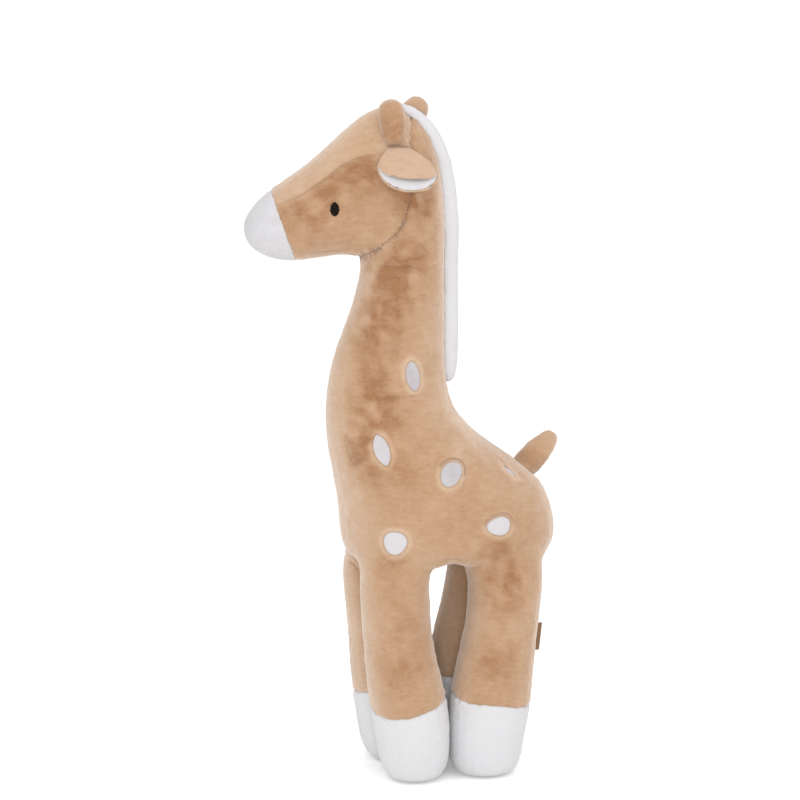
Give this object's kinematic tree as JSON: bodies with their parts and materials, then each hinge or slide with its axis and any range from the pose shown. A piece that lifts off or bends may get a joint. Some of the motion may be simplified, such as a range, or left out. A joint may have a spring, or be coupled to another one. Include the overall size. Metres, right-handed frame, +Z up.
{
  "type": "plush giraffe",
  "caption": "Standing stuffed giraffe toy with a turned head, drooping two-layer ears, stub horns, padded mane, stub tail, pale oval spots and pale hooves.",
  "frame": {"origin": "on the surface that the hooves stand on, under the middle of the toy", "axes": "+Z up, -Y the way the body faces, +X the toy's left side"},
  "size_m": [0.1104, 0.2332, 0.5024],
  "materials": {
    "tan_plush": "short-pile tan plush, brushed matt with darker and lighter nap",
    "white_plush": "short-pile white plush, brushed matt",
    "black_thread": "satin-stitched black embroidery thread",
    "brown_ribbon": "folded dark brown woven ribbon, bare"
  },
  "bodies": {
    "toy": {"torso": "tan_plush", "neck": "tan_plush", "head": "tan_plush", "muzzle": "white_plush", "front_left_leg": "tan_plush", "front_left_hoof": "white_plush", "front_right_leg": "tan_plush", "front_right_hoof": "white_plush", "rear_left_leg": "tan_plush", "rear_left_hoof": "white_plush", "rear_right_leg": "tan_plush", "rear_right_hoof": "white_plush", "left_horn": "tan_plush", "right_horn": "tan_plush", "mane": "white_plush", "left_eye": "black_thread", "right_eye": "black_thread", "left_neck_spot": "white_plush", "left_chest_spot": "white_plush", "left_flank_spot": "white_plush", "left_shoulder_spot": "white_plush", "left_hip_spot": "white_plush", "left_rump_spot": "white_plush", "right_neck_spot": "white_plush", "right_chest_spot": "white_plush", "right_flank_spot": "white_plush", "right_shoulder_spot": "white_plush", "right_hip_spot": "white_plush", "right_rump_spot": "white_plush", "side_label": "brown_ribbon"},
    "left_ear": {"left_ear_back": "tan_plush", "left_ear_lining": "white_plush"},
    "right_ear": {"right_ear_back": "tan_plush", "right_ear_lining": "white_plush"},
    "tail": {"tail": "tan_plush"}
  },
  "joints": [
    {"name": "left_ear_root", "type": "hinge", "parent": "toy", "child": "left_ear", "pos_m": [0.02458, -0.01487, 0.46937], "axis": [-0.2079, -0.9781, 0], "range_deg": [-12, 30], "stiffness_Nm_per_rad": 0.004},
    {"name": "right_ear_root", "type": "hinge", "parent": "toy", "child": "right_ear", "pos_m": [-0.02748, -0.0038, 0.46937], "axis": [0.2079, 0.9781, 0], "range_deg": [-12, 30], "stiffness_Nm_per_rad": 0.004},
    {"name": "tail_root", "type": "hinge", "parent": "toy", "child": "tail", "pos_m": [0, 0.08944, 0.22566], "axis": [1, 0, 0], "range_deg": [-20, 20], "stiffness_Nm_per_rad": 0.006}
  ]
}
